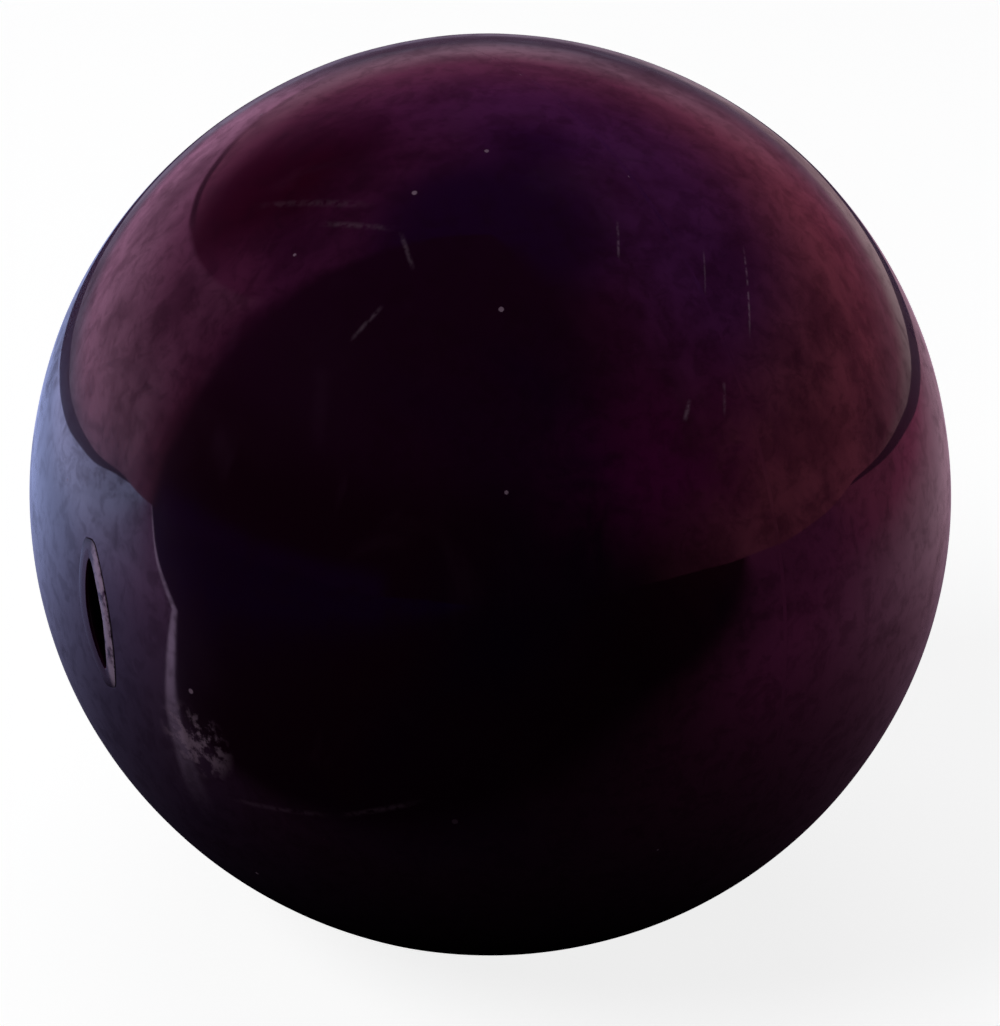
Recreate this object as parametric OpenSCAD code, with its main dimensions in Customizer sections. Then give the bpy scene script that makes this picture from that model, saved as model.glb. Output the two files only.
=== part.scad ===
// Case opening friction ball: a tacky rubber ball with air in it, pressed on the screwed back
// of a watch and turned by hand. Two moulded cover halves are cemented edge to edge over an
// air bladder, and a push-in valve core takes an inflating needle.
//
// Millimetres. The origin is the centre of the ball and +Z is up. The valve looks along -X, and
// the halves part on the plane X = 0. Every piece is drawn about a local Z axis that points out
// through the valve, and on_valve_axis() lays that axis along -X.

/* [Ball] */
// Outside diameter of the ball at working pressure
ball_d = 65; // [62:1:75]
// Wall of the tacky cover
cover_t = 3.5; // [3.2:0.1:4]
// Wall of the air bladder
bladder_t = 0.9; // [0.7:0.1:1.2]

/* [Seam] */
// Width of the cement line at the surface
cement_w = 0.3; // [0.2:0.05:0.5]
// Depth of the cement line
cement_depth = 0.4; // [0.3:0.05:0.6]
// Thickness of the tongue that joins the halves
tongue_t = 1.2; // [0.9:0.1:1.4]
// Height of the tongue
tongue_h = 1.6; // [1:0.1:2.5]
// Width of the tape that backs the seam
strip_w = 9; // [6:0.5:12]
// Thickness of the tape
strip_t = 0.6; // [0.4:0.1:0.8]

/* [Valve mouth] */
// Length of the mouth
mouth_l = 8.4; // [7.5:0.1:9]
// Width of the mouth, a little more than the needle's
mouth_w = 1.7; // [1.7:0.1:2.2]
// Width of the lip round the mouth
lip_w = 1; // [1:0.1:1.3]
// Height of the lip above the ball
lip_h = 0.05; // [0.05:0.05:0.4]
// Turn of the mouth about the valve's axis
mouth_turn = 11; // [0:1:90]

/* [Valve] */
// Diameter of the needle's channel
needle_d = 1.6; // [1.4:0.1:1.6]
// Diameter of the core's stem
stem_d = 3.5; // [3.2:0.1:3.5]
// Length of the core's stem
stem_l = 8.1; // [7:0.1:9]
// Length of the channel below the mouth
channel_l = 7.2; // [6:0.1:7.5]
// Diameter of the housing's neck
neck_d = 6.8; // [6.4:0.1:7.2]
// Diameter of the housing's flange
flange_d = 15; // [13:0.5:17]
// Diameter of the patch that backs the neck
patch_d = 18; // [16:0.5:20]
// Thickness of the patch
patch_t = 0.7; // [0.5:0.1:0.9]

/* [Hidden] */
$fn = 96;

ball_r = ball_d / 2;
cover_in_r = ball_r - cover_t;
air_gap = 0.05;
bladder_r = cover_in_r - air_gap;
bladder_in_r = bladder_r - bladder_t;
tongue_out_r = ball_r - 1.1;

// How far a cutter runs past what it cuts.
past = 5;

// The head is set in a pocket, with its underside just clear of the pocket's floor. The neck's
// hole runs a little past that floor, so that the two always open into each other.
pocket_floor = ball_r - 2.1;
head_gap = 0.1;
neck_gap = 0.05;
head_floor = pocket_floor + head_gap;
mouth_floor = ball_r - 1.3;
lip_r = ball_r + lip_h;

// The mouth is a lens: two arcs of one radius whose centres lie either side of the axis.
arc_r = (pow(mouth_l / 2, 2) + pow(mouth_w / 2, 2)) / mouth_w;
arc_offset = arc_r - mouth_w / 2;
head_half_l = mouth_l / 2 + lip_w + 0.1;

// The housing hangs inside the bladder, and its well takes the stem with a running clearance.
neck_r = neck_d / 2;
stem_r = stem_d / 2;
well_clearance = 0.05;
well_r = stem_r + well_clearance;
stem_tip = head_floor - stem_l;
well_floor = stem_tip - 1;
barrel_t = 1.7;
barrel_r = well_r + barrel_t;
port_d = 1.8;
floor_t = 1.4;
flange_t = 1.2;
channel_floor = mouth_floor - channel_l;
slit_w = 0.15;
slit_l = 1.3;
rib_count = 4;
rib_pitch = 1.3;
groove_w = 0.6;
groove_depth = 0.25;
tip_chamfer = 0.5;

cover_color = [0.16, 0.04, 0.10];
cement_color = [0.10, 0.03, 0.06];
cloth_color = [0.62, 0.56, 0.46];
butyl_color = [0.09, 0.09, 0.10];
patch_color = [0.30, 0.12, 0.10];
valve_color = [0.12, 0.11, 0.12];

module on_valve_axis() rotate([0, -90, 0]) children();

// A spherical wall between two radii.
module shell(outer_r, inner_r) {
    difference() {
        sphere(r = outer_r);
        sphere(r = inner_r);
    }
}

// Everything on the valve's side of the parting plane, or on the other.
module valve_side() translate([-ball_d, -ball_d, 0]) cube(2 * ball_d);
module plain_side() translate([-ball_d, -ball_d, -2 * ball_d]) cube(2 * ball_d);

// A round column on the valve's axis, from one distance out of the ball's centre to another.
module column(r, from, to) translate([0, 0, from]) cylinder(r = r, h = to - from);

// A ring about the valve's axis.
module ring(outer_r, inner_r, from, to) {
    difference() {
        column(outer_r, from, to);
        column(inner_r, from - 1, to + 1);
    }
}

// The lens-shaped column of the mouth, grown on every side, with its tips cut round.
module lens(grow, half_l, from, to) {
    rotate([0, 0, mouth_turn]) intersection() {
        translate([0, -arc_offset, 0]) column(arc_r + grow, from, to);
        translate([0, arc_offset, 0]) column(arc_r + grow, from, to);
        column(half_l, from, to);
    }
}

// The groove for the cement round the parting line, widest at the surface, and the cement in it.
module cement_wedge(run) {
    half_w = cement_w / 2 * (cement_depth + run) / cement_depth;
    rotate_extrude() polygon([
        [ball_r - cement_depth, 0],
        [ball_r + run, -half_w],
        [ball_r + run, half_w]
    ]);
}

module tongue() ring(tongue_out_r, tongue_out_r - tongue_t, 0, tongue_h);

// The band of the cover's inside that the tape takes up.
module strip_band() {
    intersection() {
        shell(cover_in_r + strip_t, cover_in_r);
        column(ball_r, -strip_w / 2, strip_w / 2);
    }
}

// The seat of the patch in the cover's inside.
module patch_seat() {
    intersection() {
        shell(cover_in_r + patch_t, cover_in_r - air_gap / 2);
        column(patch_d / 2, 0, ball_r);
    }
}

module cover_valve_half() {
    color(cover_color) on_valve_axis() difference() {
        intersection() {
            shell(ball_r, cover_in_r);
            valve_side();
        }
        tongue();
        cement_wedge(past);
        strip_band();
        patch_seat();
        column(neck_r, 0, pocket_floor + neck_gap);
        lens(lip_w + head_gap, head_half_l + head_gap, pocket_floor, ball_r + past);
    }
}

module cover_plain_half() {
    color(cover_color) on_valve_axis() difference() {
        union() {
            intersection() {
                shell(ball_r, cover_in_r);
                plain_side();
            }
            tongue();
        }
        cement_wedge(past);
        strip_band();
    }
}

module seam_cement() color(cement_color) on_valve_axis() cement_wedge(0);

module seam_strip() color(cloth_color) on_valve_axis() strip_band();

module bladder() {
    color(butyl_color) on_valve_axis() difference() {
        shell(bladder_r, bladder_in_r);
        column(neck_r, 0, ball_r);
    }
}

module bladder_patch() {
    color(patch_color) on_valve_axis() difference() {
        intersection() {
            shell(cover_in_r + patch_t, cover_in_r);
            column(patch_d / 2, 0, ball_r);
        }
        column(neck_r, 0, ball_r);
    }
}

module valve_housing() {
    color(valve_color) on_valve_axis() difference() {
        union() {
            intersection() {
                shell(bladder_in_r, bladder_in_r - flange_t);
                column(flange_d / 2, 0, ball_r);
            }
            column(neck_r, bladder_in_r - flange_t, pocket_floor);
            column(barrel_r, well_floor - floor_t, bladder_in_r - flange_t / 2);
        }
        column(well_r, well_floor, ball_r);
        column(port_d / 2, 0, ball_r);
    }
}

module stem_groove(at) ring(stem_r + 1, stem_r - groove_depth, at, at + groove_w);

module valve_core() {
    color(valve_color) on_valve_axis() difference() {
        union() {
            intersection() {
                lens(lip_w, head_half_l, head_floor, ball_r + past);
                sphere(r = lip_r);
            }
            column(stem_r, stem_tip + tip_chamfer, mouth_floor);
            translate([0, 0, stem_tip])
                cylinder(r1 = stem_r - tip_chamfer, r2 = stem_r, h = tip_chamfer);
        }
        lens(0, mouth_l, mouth_floor, ball_r + past);
        column(needle_d / 2, channel_floor, ball_r);
        for (i = [0 : rib_count - 1]) stem_groove(stem_tip + 1.2 + i * rib_pitch);
        rotate([0, 0, mouth_turn])
            translate([-slit_l / 2, -slit_w / 2, stem_tip - 1])
                cube([slit_l, slit_w, channel_floor - stem_tip + 1.5]);
    }
}

cover_valve_half();
cover_plain_half();
seam_cement();
seam_strip();
bladder();
bladder_patch();
valve_housing();
valve_core();
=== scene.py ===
import bpy
import math
import numpy as np
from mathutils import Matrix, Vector


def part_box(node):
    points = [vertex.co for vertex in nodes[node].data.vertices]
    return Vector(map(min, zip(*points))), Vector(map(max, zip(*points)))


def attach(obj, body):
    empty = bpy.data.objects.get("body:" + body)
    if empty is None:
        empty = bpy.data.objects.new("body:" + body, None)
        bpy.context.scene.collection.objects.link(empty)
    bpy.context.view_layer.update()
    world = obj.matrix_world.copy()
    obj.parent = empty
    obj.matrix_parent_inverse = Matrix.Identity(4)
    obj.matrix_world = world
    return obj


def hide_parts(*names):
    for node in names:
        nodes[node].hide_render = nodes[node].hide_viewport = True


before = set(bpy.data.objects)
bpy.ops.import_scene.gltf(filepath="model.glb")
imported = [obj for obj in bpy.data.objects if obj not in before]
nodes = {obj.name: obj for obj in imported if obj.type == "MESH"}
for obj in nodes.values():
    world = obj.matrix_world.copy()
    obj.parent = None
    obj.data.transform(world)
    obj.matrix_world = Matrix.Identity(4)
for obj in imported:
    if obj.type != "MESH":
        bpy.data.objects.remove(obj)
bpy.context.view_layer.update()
mm = 0.001

# Sizes that the frame gives. The valve looks along -X, so "along" is a distance from the
# ball's centre towards the valve, and "radial" is a distance from that axis.
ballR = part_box("cover_plain_half")[1].x
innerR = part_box("bladder")[1].x + 0.05 * mm
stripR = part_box("seam_strip")[1].z
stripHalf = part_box("seam_strip")[1].x
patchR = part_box("bladder_patch")[1].z
neckR = 3.4 * mm
patchOuterR = math.hypot(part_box("bladder_patch")[0].x, neckR)
pocketFloor = -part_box("valve_housing")[0].x
lipTop = -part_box("valve_core")[0].x - ballR
stemTip = -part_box("valve_core")[1].x
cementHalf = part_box("seam_cement")[1].x
tongueTop = -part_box("cover_plain_half")[0].x
print("frame loaded, ball radius", round(ballR / mm, 2), "mm")


# ---- shapes as arrays ----

def onAxis(radial, along, angle):
    # a point is "along" towards the valve and "radial" off that axis, turned from +Z to +Y
    radial, along, angle = np.broadcast_arrays(radial, along, angle)
    return np.stack([-along, radial * np.sin(angle), radial * np.cos(angle)], axis=-1)


def gridPiece(name, rings, closeRings=False, startPole=None, endPole=None):
    # rings is (rows, columns, 3): each row is a closed ring. Rows are joined by quads, the
    # last row to the first if closeRings, and a pole closes an end ring with triangles.
    rows, cols = rings.shape[:2]
    points = rings.reshape(-1, 3)
    i = np.arange(rows if closeRings else rows - 1)[:, None]
    j = np.arange(cols)[None, :]
    a = i * cols + j
    b = i * cols + (j + 1) % cols
    c = (i + 1) % rows * cols + (j + 1) % cols
    d = (i + 1) % rows * cols + j
    quads = np.stack([a, b, c, d], axis=-1).reshape(-1, 4)
    fans = []
    for pole, row in ((startPole, 0), (endPole, rows - 1)):
        if pole is None:
            continue
        tip = len(points)
        points = np.vstack([points, pole])
        near, far = row * cols + j[0], row * cols + (j[0] + 1) % cols
        pair = (far, near) if row == 0 else (near, far)
        fans.append(np.stack([pair[0], pair[1], np.full(cols, tip)], axis=-1))
    triangles = np.vstack(fans) if fans else np.zeros((0, 3), int)
    # six times the signed volume says which way the faces point
    corners = np.vstack([quads[:, [0, 1, 2]], quads[:, [0, 2, 3]], triangles])
    p, q, r = (points[corners[:, k]] for k in range(3))
    if np.einsum("ij,ij->i", p, np.cross(q, r)).sum() < 0:
        quads, triangles = quads[:, ::-1], triangles[:, ::-1]
    mesh = bpy.data.meshes.new(name)
    mesh.from_pydata(points.tolist(), [], quads.tolist() + triangles.tolist())
    mesh.validate()
    mesh.shade_smooth()
    mesh.set_sharp_from_angle(angle=math.radians(38))
    piece = bpy.data.objects.new(name, mesh)
    bpy.context.scene.collection.objects.link(piece)
    return piece


def between(start, end, steps, ease=1.0):
    # steps values from start to just before end, crowded towards start where ease is over 1
    t = (np.arange(steps) / steps) ** ease
    return start + (end - start) * t


def smoothMin(a, b, reach):
    # the lesser of two values, rounded over where they are within reach of each other
    h = np.clip(0.5 + 0.5 * (b - a) / reach, 0, 1)
    return b + (a - b) * h - reach * h * (1 - h)


# The moulded skin isn't a perfect sphere: long shallow waves and a finer orange peel.
relief = {
    "seed": 11,
    "waves": ((26, 0.022), (15, 0.012), (8, 0.007), (3.4, 0.0018)),  # length, height, mm
    "perLength": 7,
}


def dip(points):
    # how far each point lies under the true sphere: a sum of sines along random directions,
    # shifted so that none stands proud of it
    random = np.random.default_rng(relief["seed"])
    total, most = np.zeros(points.shape[:-1]), 0.0
    for length, height in relief["waves"]:
        for k in range(relief["perLength"]):
            way = random.normal(size=3)
            way /= np.linalg.norm(way)
            phase = random.uniform(0, 2 * math.pi)
            share = height * mm / relief["perLength"] ** 0.5
            total += share * np.sin(points @ way * 2 * math.pi / (length * mm) + phase)
        most += 1.8 * height * mm
    return np.clip(most - total, 0, None)


def sunk(points):
    # pulls points on the outer sphere in by their dip: each is scaled by 1 less dip over radius
    return points * (1 - dip(points) / ballR)[..., None]


# ---- the valve's outline ----

mouth = {
    "length": 8.4 * mm,
    "width": 1.7 * mm,
    "lip": 1.0 * mm,
    "turn": math.radians(11),
    "floor": ballR - 1.3 * mm,
    "gap": 0.02 * mm,  # from the lip to the cover
    "tipRound": 0.045,
}
columns = 480
angles = np.arange(columns) * 2 * math.pi / columns
mouthArc = (mouth["length"] ** 2 + mouth["width"] ** 2) / (4 * mouth["width"])
arcOffset = mouthArc - mouth["width"] / 2


def lensEdge(grow, halfLength):
    # distance from the axis to the edge of two crossed arcs, with the tips rounded off
    turn = angles - mouth["turn"]
    side = np.sqrt(np.sin(turn) ** 2 + mouth["tipRound"] ** 2)
    edge = np.sqrt((mouthArc + grow) ** 2 - arcOffset ** 2 * (1 - side ** 2)) - arcOffset * side
    return smoothMin(edge, np.full_like(edge, halfLength), 0.5 * mm)


mouthEdge = lensEdge(0, mouth["length"] / 2)
lipEdge = lensEdge(mouth["lip"], mouth["length"] / 2 + mouth["lip"])
pocketEdge = lipEdge + mouth["gap"]

# ---- the two cover halves ----

cover = {
    "outerRows": 142,
    "innerRows": 36,
    "seamRound": 0.5 * mm,  # how far from the joint the moulded edge falls away
    "seamFall": 0.004 * mm,
    "cementDepth": 0.4 * mm,
    "tongueOuter": ballR - 1.1 * mm,
    "tongueInner": ballR - 2.3 * mm,
    "neckSlack": 0.05 * mm,  # how far the neck's hole runs past the pocket's floor
    "pocketRound": 0.03 * mm,
}


def seamFall(along):
    # the skin falls away smoothly in the last stretch before the joint
    near = np.clip(1 - np.abs(along) / cover["seamRound"], 0, 1)
    return cover["seamFall"] * near ** 2


def skin(polar, angle):
    # the outer skin by its angle from the valve's axis
    points = onAxis(ballR * np.sin(polar), ballR * np.cos(polar), angle)
    fall = seamFall(ballR * np.cos(polar))
    return sunk(points) * (1 - fall / ballR)[..., None]


def ring(radial, along):
    # one row of a piece; either distance may change round the axis
    return onAxis(radial, along, angles)[None]


def arc(radius, fromAlong, toAlong, steps):
    # rows on an inner sphere between two distances along the axis, without the last
    a = np.arccos(np.clip(fromAlong / radius, -1, 1))
    b = np.arccos(np.clip(toAlong / radius, -1, 1))
    polar = between(a, b, steps)[:, None]
    return onAxis(radius * np.sin(polar), radius * np.cos(polar), angles[None, :])


def onSphere(radius, radial):
    return math.sqrt(radius ** 2 - radial ** 2)


def makeValveHalf():
    # the profile runs over the skin from the pocket to the joint, into the tongue's groove,
    # along the inside past the tape's and the patch's seats, and out through the neck
    c = cover
    startPolar = np.arcsin(pocketEdge / ballR)
    endPolar = math.acos(cementHalf / ballR)
    t = (np.arange(c["outerRows"]) / (c["outerRows"] - 1)) ** 1.25
    polar = startPolar[None, :] + (endPolar - startPolar[None, :]) * t[:, None]
    outer = skin(polar, angles[None, :])
    rim = outer[0]
    rimR = np.linalg.norm(rim[:, 1:], axis=1)
    rimAlong = -rim[:, 0]
    rows = [
        ring(rimR - c["pocketRound"] * 0.7, rimAlong - c["pocketRound"] * 0.35),
        outer,
        ring(ballR - c["cementDepth"], 0),
        ring(c["tongueOuter"], 0),
        ring(c["tongueOuter"], tongueTop),
        ring(c["tongueInner"], tongueTop),
        ring(c["tongueInner"], 0),
        arc(stripR, 0, stripHalf, 8),
        ring(onSphere(stripR, stripHalf), stripHalf),
        arc(innerR, stripHalf, onSphere(innerR, patchR), c["innerRows"]),
        ring(patchR, onSphere(innerR, patchR)),
        arc(patchOuterR, onSphere(patchOuterR, patchR), onSphere(patchOuterR, neckR), 8),
        ring(neckR, onSphere(patchOuterR, neckR)),
        ring(neckR, pocketFloor + c["neckSlack"]),
        ring(rimR - c["pocketRound"], pocketFloor),
        ring(rimR - c["pocketRound"], rimAlong - c["pocketRound"]),
    ]
    piece = gridPiece("coverValveSkin", np.concatenate(rows), closeRings=True)
    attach(piece, "root")
    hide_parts("cover_valve_half")
    return piece


def makePlainHalf():
    # the same profile on the other side, with the tongue standing up and both poles closed
    c = cover
    polar = np.linspace(math.pi, math.acos(-cementHalf / ballR), c["outerRows"] + 1)[1:, None]
    rows = [
        skin(polar, angles[None, :]),
        ring(ballR - c["cementDepth"], 0),
        ring(c["tongueOuter"], 0),
        ring(c["tongueOuter"], tongueTop),
        ring(c["tongueInner"], tongueTop),
        ring(c["tongueInner"], 0),
        arc(stripR, 0, -stripHalf, 8),
        ring(onSphere(stripR, stripHalf), -stripHalf),
        arc(innerR, -stripHalf, -innerR, c["innerRows"]),
    ]
    outerPole = skin(np.array([math.pi]), np.array([0.0]))[0]
    innerPole = onAxis(0.0, -innerR, 0.0)
    piece = gridPiece("coverPlainSkin", np.concatenate(rows), False, outerPole, innerPole)
    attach(piece, "root")
    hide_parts("cover_plain_half")
    return piece


# ---- the cement bead ----

cement = {
    "rise": 0.002 * mm,  # most that the bead swells between the edges
    "seed": 5,
    "steps": 6,
}


def makeCement():
    # a wedge in the groove, whose top swells and thins along the joint as a brushed bead does
    random = np.random.default_rng(cement["seed"])
    swell = np.zeros(columns)
    for k in range(3, 40):
        swell += random.normal() / k ** 0.5 * np.sin(k * angles + random.uniform(0, 6.28))
    swell = cement["rise"] * (swell - swell.min()) / (swell.max() - swell.min())
    across = np.linspace(-1, 1, cement["steps"])[:, None]
    polar = np.arccos(across * cementHalf / ballR) + 0 * angles[None, :]
    top = skin(polar, angles[None, :])
    crown = (1 - across ** 2) * swell[None, :]
    rows = [
        top * (1 + (crown - cement["rise"]) / ballR)[..., None],
        ring(ballR - cover["cementDepth"], 0),
    ]
    piece = gridPiece("seamCementBead", np.concatenate(rows), closeRings=True)
    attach(piece, "root")
    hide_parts("seam_cement")
    return piece


# ---- the valve's core ----

core = {
    "stem": 1.75 * mm,
    "channel": 0.8 * mm,
    "channelFloor": ballR - 8.5 * mm,
    "headFloor": ballR - 2.0 * mm,
    "lipRows": 26,
    "crest": 0.55,  # how far out across the lip it is highest
    "slope": 0.10 * mm,  # how far it falls from there to the mouth, on the steeper side
    "roll": 0.30 * mm,  # depth of the rounding into the mouth
    "rollShare": 0.14,
    "waver": 0.05 * mm,
    "seed": 3,
    "wallRows": 5,
    "ribs": 4,
    "ribPitch": 1.3 * mm,
    "grooveWidth": 0.6 * mm,
    "grooveDepth": 0.25 * mm,
    "firstGroove": 1.2 * mm,
    "chamfer": 0.5 * mm,
    "funnel": 0.35 * mm,
}


def makeCore():
    # the profile starts on the axis at the channel's floor, comes out of the channel, over
    # the mouth's floor, up its wall, over the lip and down to the ribbed stem's tip
    c = core
    rows = [
        ring(c["channel"] * 0.5, c["channelFloor"]),
        ring(c["channel"], c["channelFloor"]),
        ring(c["channel"], mouth["floor"] - c["funnel"]),
    ]
    random = np.random.default_rng(c["seed"])
    waver = np.zeros(columns)
    for k in range(2, 14):
        waver += random.normal() / k * np.sin(k * angles + random.uniform(0, 6.28))
    edge = mouthEdge - c["waver"] * (waver - waver.min()) / (waver.max() - waver.min())
    floorEdge = edge * 0.96
    for t in (0.0, 0.5, 1.0):
        start = np.minimum(c["channel"] * 1.01, floorEdge * 0.99)
        rows.append(ring(start + (floorEdge - start) * t, mouth["floor"] + 0.05 * mm * t))
    lipFoot = np.sqrt(ballR ** 2 - edge ** 2) - c["roll"]
    for t in np.linspace(0.15, 1, c["wallRows"]):
        wall = floorEdge + (edge - floorEdge) * t
        rows.append(ring(wall, mouth["floor"] + (lipFoot - mouth["floor"]) * t))
    # one side of the lip is pulled up, so it slopes down to the mouth from a low crest; the
    # other is nearly flush. Both turn down into the mouth through a tight rounding.
    pulled = 0.5 - 0.5 * np.sin(angles - mouth["turn"])
    slope = c["slope"] * (0.1 + 0.9 * pulled ** 1.5)
    crestRise = (lipTop - 0.005 * mm) * (0.3 + 0.7 * pulled)
    for t in np.linspace(0, 1, c["lipRows"] + 1)[1:]:
        across = t ** 1.7 if t < 0.5 else t + (0.5 ** 1.7 - 0.5) * (1 - t) * 2
        radial = edge + (lipEdge - edge) * across
        surface = np.sqrt(ballR ** 2 - radial ** 2)
        inside = min(across / c["crest"], 1)
        outside = max((across - c["crest"]) / (1 - c["crest"]), 0)
        ramp = crestRise - slope * (1 - inside ** 1.15)
        rise = ramp * (1 - outside ** 2) ** 1.5 - 0.015 * mm * outside ** 6
        tuck = max(1 - across / c["rollShare"], 0)
        rise = rise - c["roll"] * (1 - math.sqrt(1 - tuck ** 2))
        rows.append(ring(radial, surface + rise))
    rows.append(ring(lipEdge, c["headFloor"]))
    rows.append(ring(c["stem"], c["headFloor"]))
    for k in reversed(range(c["ribs"])):
        low = stemTip + c["firstGroove"] + k * c["ribPitch"]
        high = low + c["grooveWidth"]
        rows.append(ring(c["stem"], high))
        rows.append(ring(c["stem"] - c["grooveDepth"], high))
        rows.append(ring(c["stem"] - c["grooveDepth"], low))
        rows.append(ring(c["stem"], low))
    rows.append(ring(c["stem"], stemTip + c["chamfer"]))
    rows.append(ring(c["stem"] - c["chamfer"], stemTip))
    rows.append(ring(c["stem"] * 0.3, stemTip))
    channelPole = onAxis(0.0, c["channelFloor"], 0.0)
    tipPole = onAxis(0.0, stemTip, 0.0)
    piece = gridPiece("valveLip", np.concatenate(rows), False, channelPole, tipPole)
    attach(piece, "root")
    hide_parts("valve_core")
    return piece


# ---- materials ----

class Wire:
    # an output socket whose arithmetic adds Math nodes
    def __init__(self, tree, socket=None):
        self.tree = tree
        self.socket = socket

    def node(self, kind, settings=None, values=None, out=0):
        # adds a node: its settings first, then the values or links of its input sockets
        made = self.tree.nodes.new(kind)
        for key, value in (settings or {}).items():
            setattr(made, key, value)
        for key, value in (values or {}).items():
            if isinstance(value, Wire):
                self.tree.links.new(value.socket, made.inputs[key])
            else:
                made.inputs[key].default_value = value
        return Wire(self.tree, made.outputs[out])

    def math(self, operation, *terms):
        values = dict(enumerate(terms))
        return self.node("ShaderNodeMath", {"operation": operation}, values)

    def __add__(self, other):
        return self.math("ADD", self, other)

    def __radd__(self, other):
        return self.math("ADD", other, self)

    def __sub__(self, other):
        return self.math("SUBTRACT", self, other)

    def __rsub__(self, other):
        return self.math("SUBTRACT", other, self)

    def __mul__(self, other):
        return self.math("MULTIPLY", self, other)

    def __rmul__(self, other):
        return self.math("MULTIPLY", other, self)

    def step(self, low, high):
        # 0 below low and 1 above high, smooth between; low may be the greater
        values = {"Value": self, "From Min": low, "From Max": high}
        return self.node("ShaderNodeMapRange", {"interpolation_type": "SMOOTHSTEP"}, values)

    def within(self, low, high, soft):
        # 1 between low and high, falling to 0 over soft on either side
        return self.step(low - soft, low + soft) * self.step(high + soft, high - soft)

    def stroke(self, start, end, width):
        # 1 along a line on the skin between two directions from the ball's centre, where
        # this is the place in mm; its ends fade and width is its half width
        start, end = (Vector(v).normalized() * ballR / mm for v in (start, end))
        run = end - start
        side = start.cross(run).normalized()
        across = self.towards(side) - side.dot(start)
        along = self.towards(run) - run.normalized().dot(start)
        length = run.length
        shape = across.within(-width / 2, width / 2, width / 2)
        shape = shape * along.within(length * 0.15, length * 0.85, length * 0.15)
        return shape * self.towards(start + end).step(ballR / mm * 0.8, ballR / mm * 0.9)

    def mixed(self, a, b):
        # colour a where this is 0 and colour b where it is 1
        a, b = (x if isinstance(x, Wire) else (*x, 1) for x in (a, b))
        settings = {"data_type": "RGBA", "clamp_factor": True}
        return self.node("ShaderNodeMix", settings, {0: self, 6: a, 7: b}, 2)

    def placed(self, scale=(1, 1, 1), turn=(0, 0, 0)):
        values = {"Vector": self, "Scale": scale, "Rotation": turn}
        return self.node("ShaderNodeMapping", None, values)

    def noise(self, scale, detail=2.0, rough=0.5, bend=0.0):
        values = {"Vector": self, "Scale": scale, "Detail": detail}
        values.update({"Roughness": rough, "Distortion": bend})
        return self.node("ShaderNodeTexNoise", None, values)

    def towards(self, way):
        # how far a point or direction lies that way
        way = Vector(way).normalized()
        return self.node("ShaderNodeVectorMath", {"operation": "DOT_PRODUCT"},
                         {0: self, 1: way}, "Value")


def newMaterial(name):
    material = bpy.data.materials.new(name)
    material.use_nodes = True
    tree = material.node_tree
    shader = next(n for n in tree.nodes if n.type == "BSDF_PRINCIPLED")
    place = Wire(tree).node("ShaderNodeTexCoord", None, None, "Object")
    return material, shader, place


def inMillimetres(place):
    return place.placed(scale=(1 / mm, 1 / mm, 1 / mm))


def plug(shader, name, wire):
    wire.tree.links.new(wire.socket, shader.inputs[name])


def bumped(shader, height, distance):
    values = {"Height": height, "Distance": distance, "Strength": 1.0}
    plug(shader, "Normal", height.node("ShaderNodeBump", None, values))


rubber = {
    "maroon": (0.0100, 0.0005, 0.0052),
    "plum": (0.0050, 0.0004, 0.0075),
    "brown": (0.0160, 0.0018, 0.0045),
    "bloom": (0.034, 0.013, 0.028),
    "dustAndPaintedSheen": (0.30, 0.20, 0.27),
    "paleLipHighlight": (0.46, 0.34, 0.46),
    "gloss": 0.12,  # specular level under the coat
    "coatRough": 0.035,
    "palePatchWay": (-0.94, -0.28, -0.19),  # from the ball's centre, beside the valve
    "palePatchEdge": (32.25, 32.45),  # how far that way, in mm, it starts and is full
    "speckScale": 0.55,  # dust cells to a mm
}

# start, end, half width in mm and strength; some are scratches, others pale lines painted as
# reflections
scratchesAndPaintedReflections = (
    ((-0.09, -0.55, 0.83), (-0.14, -0.62, 0.77), 0.14, 0.40),
    ((0.16, -0.64, 0.75), (0.06, -0.79, 0.61), 0.12, 0.75),
    ((0.06, -0.64, 0.77), (0.00, -0.72, 0.69), 0.11, 0.30),
    # these four are painted reflections of the room, drawn as pale lines
    ((-0.56, -0.18, 0.81), (-0.46, -0.33, 0.82), 0.36, 0.13),
    ((-0.46, -0.33, 0.82), (-0.49, -0.42, 0.77), 0.24, 0.20),
    ((-0.64, -0.41, 0.65), (-0.56, -0.42, 0.72), 0.24, 0.18),
    ((-0.60, 0.00, 0.80), (-0.46, -0.26, 0.85), 0.45, 0.08),
    ((-0.03, -0.82, 0.57), (-0.06, -0.86, 0.50), 0.18, 0.30),
    ((-0.12, -0.83, 0.55), (-0.15, -0.85, 0.51), 0.24, 0.45),
    # these two are a painted reflection of the table's near edge, drawn as a pale arc
    ((-0.90, -0.31, -0.32), (-0.78, -0.55, -0.29), 0.35, 0.10),
    ((-0.78, -0.55, -0.29), (-0.67, -0.71, -0.22), 0.35, 0.10),
)


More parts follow.
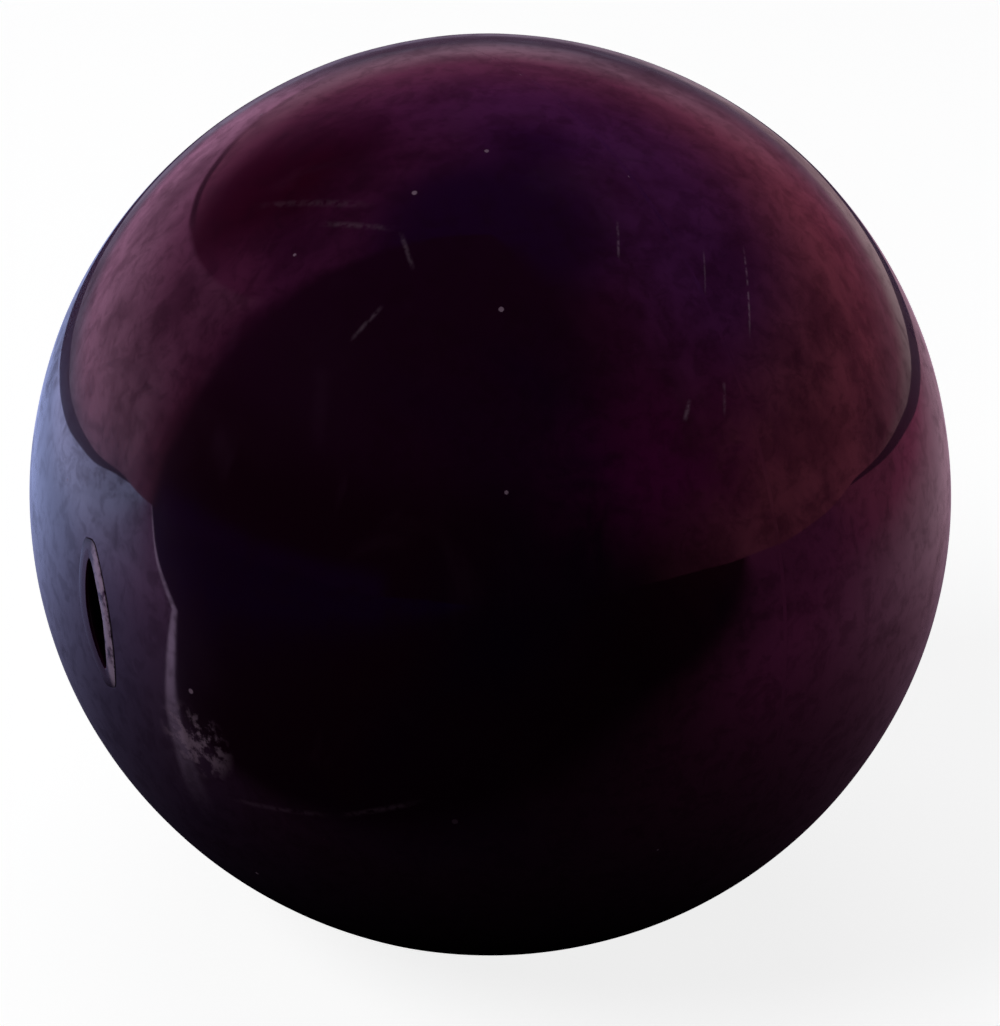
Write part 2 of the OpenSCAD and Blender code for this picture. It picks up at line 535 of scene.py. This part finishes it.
def coverRubber():
    # tacky natural rubber: a deep maroon that drifts to plum, with a brown tint painted on one
    # side as warm light and reflection, under a wet gloss
    material, shader, place = newMaterial("tackyMaroonRubber")
    inMm = inMillimetres(place)
    drift = inMm.noise(0.035, 3, 0.5, 0.6)
    wisps = inMm.placed(scale=(1, 1, 0.35), turn=(0.4, 0.2, 0.3)).noise(0.16, 4, 0.55, 0.8)
    colour = drift.step(0.42, 0.66).mixed(rubber["maroon"], rubber["plum"])
    # painted light: the side facing (0.75, -0.5, 0.45) turns brown, as if lit warmer from there
    paintedWarmSide = place.towards((0.75, -0.5, 0.45)).step(0.006, 0.030) * drift.step(0.62, 0.40)
    colour = paintedWarmSide.mixed(colour, rubber["brown"])
    bloom = wisps.step(0.56, 0.80) * 0.35
    colour = bloom.mixed(colour, rubber["bloom"])
    # pale marks: scratches, pale lines painted as reflections of the room and of the table's
    # near edge, and a pale patch beside the valve
    crumbs = inMm.noise(0.9, 4, 0.65)
    streaky = inMm.noise(2.3, 2, 0.5)
    # a pale patch beside the valve, broken up by the crumbs noise
    palePatch = inMm.towards(rubber["palePatchWay"]).step(*rubber["palePatchEdge"])
    wearAndPaintedHighlight = palePatch * crumbs.step(0.47, 0.62) * 0.7
    for start, end, width, strength in scratchesAndPaintedReflections:
        wearAndPaintedHighlight = wearAndPaintedHighlight + inMm.stroke(start, end, width) * streaky.step(0.30, 0.62) * strength
    colour = wearAndPaintedHighlight.mixed(colour, rubber["dustAndPaintedSheen"])
    # dust: sparse specks, each a cell of its own that only a few cells keep
    spread = {"Vector": inMm, "Scale": rubber["speckScale"]}
    cells = inMm.node("ShaderNodeTexVoronoi", {"feature": "F1"}, spread, "Distance")
    chance = inMm.node("ShaderNodeTexVoronoi", {"feature": "F1"}, spread, "Color")
    kept = chance.node("ShaderNodeSeparateColor", None, {"Color": chance}, "Red")
    size = chance.node("ShaderNodeSeparateColor", None, {"Color": chance}, "Green")
    speck = (size * 0.09 + 0.05 - cells).step(0.0, 0.04) * kept.step(0.93, 0.95)
    colour = (speck * 0.75).mixed(colour, rubber["dustAndPaintedSheen"])
    plug(shader, "Base Color", colour)
    # handling smears and upright striations break the gloss
    smear = inMm.placed(scale=(1, 0.5, 1), turn=(0, 0.5, 0.9)).noise(0.11, 5, 0.6, 1.2)
    grain = inMm.placed(scale=(1.6, 1.6, 0.22)).noise(0.7, 4, 0.65)
    mottled = inMm.noise(0.7, 4, 0.7, 0.5).step(0.44, 0.64) * 0.34
    dull = smear.step(0.48, 0.78) * 0.24 + grain.step(0.50, 0.80) * 0.16 + mottled
    dull = dull + wearAndPaintedHighlight * 0.5
    plug(shader, "Roughness", 0.30 + smear.step(0.45, 0.75) * 0.18 + speck * 0.2)
    plug(shader, "Coat Weight", 1 - dull - speck * 0.6)
    shader.inputs["Coat Roughness"].default_value = rubber["coatRough"]
    shader.inputs["Coat IOR"].default_value = 1.5
    shader.inputs["Specular IOR Level"].default_value = rubber["gloss"]
    peel = inMm.noise(0.9, 2, 0.5) * 0.6 + inMm.noise(3.5, 1, 0.5) * 0.1
    height = peel + grain * 0.15 + wearAndPaintedHighlight * 0.6 + speck * 2.5
    bumped(shader, height, 0.004 * mm)
    return material


def cementRubber():
    # the cured cement, a shade darker than the cover and just as wet
    material, shader, place = newMaterial("curedCement")
    inMm = inMillimetres(place)
    streak = inMm.noise(0.9, 3, 0.6, 0.4)
    plug(shader, "Base Color", streak.step(0.35, 0.7).mixed(rubber["maroon"], rubber["plum"]))
    plug(shader, "Roughness", 0.30 + streak * 0.2)
    shader.inputs["Coat Weight"].default_value = 0.96
    shader.inputs["Coat Roughness"].default_value = 0.045
    shader.inputs["Specular IOR Level"].default_value = rubber["gloss"]
    return material


def valveRubber():
    # moulded rubber: the lip is as glossy and maroon as the cover; the inside is dull
    # near-black rubber, darkened further as painted shade in the mouth
    material, shader, place = newMaterial("mouldedValveRubber")
    inMm = inMillimetres(place)
    grain = inMm.noise(2.2, 4, 0.6)
    onLip = place.towards((-1, 0, 0)).step(ballR - 0.55 * mm, ballR - 0.25 * mm)
    # painted shade: the inside of the mouth is near black
    colour = grain.step(0.35, 0.7).mixed((0.0015, 0.0012, 0.0016), (0.004, 0.003, 0.004))
    # painted highlight: the pulled side of the lip is painted pale
    turn = mouth["turn"]
    pulled = inMm.towards((0, -math.cos(turn), math.sin(turn))).step(0.2, 0.75)
    wearAndPaintedHighlight = pulled * inMm.noise(0.9, 4, 0.65).step(0.34, 0.54)
    rimWithPaintedHighlight = (wearAndPaintedHighlight * 0.85).mixed(rubber["maroon"], rubber["paleLipHighlight"])
    plug(shader, "Base Color", onLip.mixed(colour, rimWithPaintedHighlight))
    plug(shader, "Roughness", 0.75 - onLip * 0.40 + grain * 0.12)
    plug(shader, "Coat Weight", onLip * 0.95)
    shader.inputs["Coat Roughness"].default_value = 0.07
    shader.inputs["Specular IOR Level"].default_value = 0.08
    bumped(shader, grain, 0.008 * mm)
    return material


def butylRubber():
    # the bladder's calendered butyl, dusted with talc
    material, shader, place = newMaterial("talcedButyl")
    inMm = inMillimetres(place)
    talc = inMm.noise(0.25, 6, 0.65, 0.5)
    colour = talc.step(0.45, 0.8).mixed((0.012, 0.012, 0.014), (0.085, 0.083, 0.082))
    plug(shader, "Base Color", colour)
    plug(shader, "Roughness", 0.55 + talc.step(0.4, 0.8) * 0.3)
    bumped(shader, inMm.noise(4, 3, 0.5), 0.02 * mm)
    return material


def patchRubber():
    # a buffed red-brown patch
    material, shader, place = newMaterial("buffedPatchRubber")
    inMm = inMillimetres(place)
    buffed = inMm.placed(scale=(1, 0.15, 1), turn=(0.6, 0, 0)).noise(2.4, 4, 0.6)
    colour = buffed.step(0.3, 0.75).mixed((0.085, 0.014, 0.010), (0.17, 0.035, 0.024))
    plug(shader, "Base Color", colour)
    plug(shader, "Roughness", 0.7 + buffed * 0.2)
    bumped(shader, buffed, 0.05 * mm)
    return material


def stripCloth():
    # plain-woven cotton, soaked with rubber between the threads
    material, shader, place = newMaterial("rubberisedCotton")
    inMm = inMillimetres(place)
    threads = []
    for way in ("X", "Y"):
        settings = {"wave_type": "BANDS", "bands_direction": way}
        threads.append(inMm.node("ShaderNodeTexWave", settings,
                                 {"Vector": inMm, "Scale": 0.6, "Distortion": 0.4}, "Fac"))
    weave = threads[0].math("MAXIMUM", threads[0], threads[1])
    stain = inMm.noise(0.3, 4, 0.6)
    cloth = stain.step(0.35, 0.7).mixed((0.34, 0.27, 0.18), (0.22, 0.16, 0.10))
    plug(shader, "Base Color", weave.step(0.2, 0.7).mixed((0.07, 0.045, 0.03), cloth))
    plug(shader, "Roughness", 0.85 - (1 - weave) * 0.2)
    bumped(shader, weave, 0.06 * mm)
    return material


def dress(piece, material):
    piece.data.materials.clear()
    piece.data.materials.append(material)


# ---- the pieces in place ----

coverMaterial = coverRubber()
valveMaterial = valveRubber()
dress(makeValveHalf(), coverMaterial)
dress(makePlainHalf(), coverMaterial)
print("cover halves made")
dress(makeCement(), cementRubber())
dress(makeCore(), valveMaterial)
print("seam and valve made")
hiddenFinish = {
    "seam_strip": stripCloth(),
    "bladder": butylRubber(),
    "bladder_patch": patchRubber(),
    "valve_housing": valveMaterial,
}
for nodeName, material in hiddenFinish.items():
    for materialSlot in nodes[nodeName].material_slots:
        materialSlot.material = material
print("inner pieces finished")

# ---- floor, light and camera ----

studio = {
    "azimuth": math.radians(-36.0),
    "elevation": math.radians(24.7),
    "lens": 135,
    "distance": 272.6 * mm,
    "floorHalf": 3.0,
    "floorGrey": 0.50,
    "floorGlow": 0.84,
    "tableHalf": 1.5,
    "tableEdge": 0.172,  # the far edge of the table that the ball reflects
    "edgeShade": 0.245,  # how far the dark strip beyond that edge goes
    "ambient": (0.05, 0.05, 0.055),
    "centreRight": 0.00936,  # how far the ball sits left of and above the middle, as a
    "centreUp": 0.01784,  # share of the picture's height
    "backdrop": (0.95, 0.95, 0.96),
    "keySize": 0.5,
    "keyPower": 2.6,
    "overheadSize": 0.9,
    "overheadPower": 1.0,
}


def awayFrom(azimuth, elevation):
    level = math.cos(elevation)
    return Vector((math.sin(azimuth) * level, -math.cos(azimuth) * level, math.sin(elevation)))


def flatPiece(name, corners, height):
    mesh = bpy.data.meshes.new(name)
    mesh.from_pydata([(x, y, height) for x, y in corners], [], [(0, 1, 2, 3)])
    piece = bpy.data.objects.new(name, mesh)
    bpy.context.scene.collection.objects.link(piece)
    return piece


def paleFloor():
    # partly self-lit, so that the shadow under the ball stays light
    material, shader, _ = newMaterial("paleFloor")
    grey = studio["floorGrey"]
    shader.inputs["Base Color"].default_value = (grey, grey, grey, 1)
    shader.inputs["Roughness"].default_value = 0.9
    shader.inputs["Specular IOR Level"].default_value = 0.0
    shader.inputs["Emission Color"].default_value = (1, 1, 1, 1)
    shader.inputs["Emission Strength"].default_value = studio["floorGlow"]
    return material


# The table that only the gloss sees, in metres from the ball's foot. "far" is away from the
# camera's side and "right" is across; an edge is where far = start + slope * right.
mat = {
    "leftStart": -0.0075,
    "leftSlope": 0.30,
    "leftLeast": -0.047,
    "farStart": -0.0419,
    "farSlope": -0.33,
    "rightStart": -0.0073,
    "rightSlope": -0.53,
    # painted shadow: the ball's shade is painted onto the table out to shadeOuter
    "shadeOuter": 0.118,  # the ball's own shade fades out this far from its foot
    "shadeInner": 0.034,
}


def tableFinish():
    # what the gloss sees of the self-lit table, a painted reflection: blue-white at the far
    # left, dim rose at the right, a black mat in front of the ball, the ball's painted shadow
    # round its foot, a dark far edge
    material, shader, place = newMaterial("reflectedTable")
    back = awayFrom(studio["azimuth"], 0)
    far = place.towards(-back)
    right = place.towards((-back.y, back.x, 0))
    beyond = far.step(-0.05, 0.08)
    blue = right.step(-0.10, -0.20).mixed((0.42, 0.49, 0.90), (0.95, 1.0, 1.75))
    plum = right.step(-0.09, -0.16).mixed((0.22, 0.09, 0.24), (0.50, 0.24, 0.55))
    left = beyond.mixed(plum, blue)
    rose = right.step(0.07, 0.24).mixed((0.42, 0.24, 0.32), (0.46, 0.08, 0.19))
    rose = beyond.mixed((0.32, 0.05, 0.18), rose)
    colour = right.step(-0.07, 0.07).mixed(left, rose)
    # the mat is bounded by three straight edges
    m = mat
    leftLine = right * m["leftSlope"] + m["leftStart"]
    leftEdge = right.math("MAXIMUM", leftLine, m["leftLeast"]) - far
    farEdge = right * m["farSlope"] + m["farStart"] - far
    rightEdge = right * m["rightSlope"] + m["rightStart"] - far
    stripe = leftEdge.within(-0.004, 0.0, 0.001) * right.step(-0.03, -0.05)
    colour = stripe.mixed(colour, (1.6, 1.1, 1.8))
    # painted shadow: black round the ball's foot, fading out by shadeOuter
    reach = place.node("ShaderNodeVectorMath", {"operation": "LENGTH"}, {0: place}, "Value")
    colour = reach.step(m["shadeOuter"], m["shadeInner"]).mixed(colour, (0.0, 0.0, 0.0))
    # its far edge blurs towards the right
    blur = right.step(-0.03, 0.05) * 0.026 + 0.004
    inside = leftEdge.step(-0.002, 0.002) * farEdge.math("DIVIDE", farEdge, blur).step(-1, 1)
    inside = inside * rightEdge.step(-0.035, 0.035)
    navy = right.step(-0.04, -0.20).mixed((0.0, 0.0, 0.0), (0.0, 0.0, 0.05))
    colour = inside.mixed(colour, navy)
    edge = studio["tableEdge"]
    colour = far.step(edge - 0.002, edge + 0.002).mixed(colour, (0.02, 0.01, 0.04))
    # self-lit: the table glows with these colours, a painted reflection, instead of being lit
    # by the lamps
    shader.inputs["Base Color"].default_value = (0, 0, 0, 1)
    shader.inputs["Roughness"].default_value = 0.9
    shader.inputs["Specular IOR Level"].default_value = 0.0
    shader.inputs["Emission Strength"].default_value = 1.0
    plug(shader, "Emission Color", colour)
    return material


def makeStage():
    # the camera sees an endless pale floor; the gloss sees a dimmer table that ends behind
    # the ball, so that the rubber keeps its dark surroundings
    s = studio
    half = s["floorHalf"]
    square = [(-half, -half), (half, -half), (half, half), (-half, half)]
    floor = flatPiece("floor", square, -ballR)
    dress(floor, paleFloor())
    floor.visible_glossy = False
    floor.visible_diffuse = False
    back = awayFrom(s["azimuth"], 0)
    side = Vector((-back.y, back.x, 0))
    near, far, wide = s["tableHalf"], -s["edgeShade"], s["tableHalf"]
    ends = ((near, -wide), (near, wide), (far, wide), (far, -wide))
    corners = [tuple((back * a + side * b).xy) for a, b in ends]
    table = flatPiece("reflectedTable", corners, -ballR + 0.02 * mm)
    dress(table, tableFinish())
    table.visible_camera = False
    table.visible_diffuse = False
    table.visible_shadow = False


def makeWorld():
    # a dim room for the gloss: warm low walls, a plum ceiling, nothing bright behind the
    # camera, and even soft light for the rest. The camera itself sees a plain pale backdrop.
    # Turn is 0 straight away from the camera and grows to the right.
    s = studio
    world = bpy.data.worlds.new("softStudio")
    world.use_nodes = True
    bpy.context.scene.world = world
    tree = world.node_tree
    tree.nodes.clear()
    start = Wire(tree)
    way = start.node("ShaderNodeTexCoord", None, None, "Generated")
    back = awayFrom(s["azimuth"], 0)
    side = Vector((-back.y, back.x, 0))
    height = way.towards((0, 0, 1))
    turn = height.math("ARCTAN2", way.towards(side), way.towards(-back))
    low = height.step(0.40, 0.20)
    centre = height.step(0.04, 0.26).mixed((0.14, 0.12, 0.18), (0.58, 0.31, 0.44))
    room = height.step(0.1, 0.75).mixed((0.48, 0.11, 0.22), (0.32, 0.05, 0.22))
    layers = (
        (turn.within(0.4, 2.1, 0.4) * height.step(0.60, 0.20), (0.66, 0.13, 0.22)),
        (turn.within(-0.1, 1.9, 0.5) * height.step(0.45, 0.75), (0.32, 0.06, 0.36)),
        (turn.within(-0.35, 0.35, 0.3) * low, centre),
        (turn.within(-1.50, -0.85, 0.15) * height.step(0.75, 0.60), (0.48, 0.08, 0.27)),
        (turn.within(-1.1, -0.45, 0.2) * height.within(0.36, 0.80, 0.08), (0.11, 0.003, 0.03)),
        (turn.within(0.0, 0.5, 0.25) * height.within(0.80, 0.93, 0.06), (0.08, 0.01, 0.17)),
    )
    for share, colour in layers:
        room = share.mixed(room, colour)
    # a grey haze along the horizon
    haze = turn.within(-0.6, 1.2, 0.3) * height.step(0.12, -0.03) * 0.5
    room = haze.mixed(room, (0.10, 0.09, 0.14))
    # a paler patch low on the left, under a dark crease
    under = 0.021 - turn * 0.43 - height
    pink = height.step(0.05, 0.42).mixed((0.84, 0.38, 0.64), (0.60, 0.16, 0.38))
    patch = turn.within(-1.47, -0.25, 0.12)
    room = (patch * under.step(-0.012, 0.012)).mixed(room, pink)
    crease = turn.within(-0.80, -0.42, 0.10) * under.within(-0.020, 0.006, 0.008)
    room = crease.mixed(room, (0.02, 0.0, 0.01))
    # what lies below the horizon, past the table
    below = turn.step(-0.1, 0.3).mixed((0.26, 0.22, 0.33), (0.50, 0.34, 0.37))
    room = (turn.within(-1.3, 1.3, 0.2) * height.step(-0.03, -0.14)).mixed(room, below)
    # mottling, a dark ceiling, and dark sides behind the camera
    mottle = way.noise(4.0, 5, 0.6, 0.3)
    room = (mottle.step(0.60, 0.34) * 0.55).mixed(room, (0.05, 0.0, 0.03))
    room = height.step(0.86, 0.97).mixed(room, (0.04, 0.004, 0.12))
    dark = turn.step(-1.50, -1.64) + turn.step(1.85, 2.6)
    dim = height.step(0.25, 0.60).mixed((0.002, 0.0, 0.003), (0.035, 0.004, 0.04))
    room = dark.mixed(room, dim)
    navy = turn.within(-2.7, -1.62, 0.05) * height.within(-0.20, 0.06, 0.05)
    room = navy.mixed(room, (0.01, 0.001, 0.06))
    # a dim plum glow low on the right, near the lens
    glow = turn.within(1.9, 2.7, 0.45) * height.within(0.20, 0.65, 0.25)
    glow = glow * way.noise(2.6, 4, 0.65, 0.4).step(0.30, 0.62)
    room = glow.mixed(room, (0.27, 0.01, 0.17))
    paths = [start.node("ShaderNodeLightPath", None, None, kind)
             for kind in ("Is Camera Ray", "Is Glossy Ray")]
    ambient = paths[1].mixed(s["ambient"], room)
    colour = paths[0].mixed(ambient, s["backdrop"])
    sky = tree.nodes.new("ShaderNodeBackground")
    tree.links.new(colour.socket, sky.inputs["Color"])
    output = tree.nodes.new("ShaderNodeOutputWorld")
    tree.links.new(sky.outputs[0], output.inputs["Surface"])


def softLight(name, place, size, power):
    # a round soft lamp aimed at the ball, which lights it but isn't seen in its gloss
    data = bpy.data.lights.new(name, "AREA")
    data.shape = "DISK"
    data.size = size
    data.energy = power
    lamp = bpy.data.objects.new(name, data)
    bpy.context.scene.collection.objects.link(lamp)
    lamp.location = place
    lamp.rotation_euler = (-Vector(place)).to_track_quat("-Z", "Y").to_euler()
    lamp.visible_glossy = False


def makeCamera():
    s = studio
    data = bpy.data.cameras.new("camera")
    camera = bpy.data.objects.new("camera", data)
    bpy.context.scene.collection.objects.link(camera)
    bpy.context.scene.camera = camera
    back = awayFrom(s["azimuth"], s["elevation"])
    data.lens = s["lens"]
    data.sensor_width = 36
    data.shift_x = s["centreRight"]
    data.shift_y = -s["centreUp"]
    data.clip_start, data.clip_end = 0.01, 20
    camera.location = back * s["distance"]
    camera.rotation_euler = (-back).to_track_quat("-Z", "Y").to_euler()


makeStage()
makeWorld()
nearWay = awayFrom(studio["azimuth"], 0)
rightWay = Vector((-nearWay.y, nearWay.x, 0))
up = Vector((0, 0, 1))
softLight("keyLeft", -rightWay * 0.60 + nearWay * 0.35 + up * 0.60,
          studio["keySize"], studio["keyPower"])
softLight("overhead", up * 0.9 - nearWay * 0.3,
          studio["overheadSize"], studio["overheadPower"])
bpy.context.scene.view_settings.view_transform = "Standard"
makeCamera()
print("stage, light and camera set")
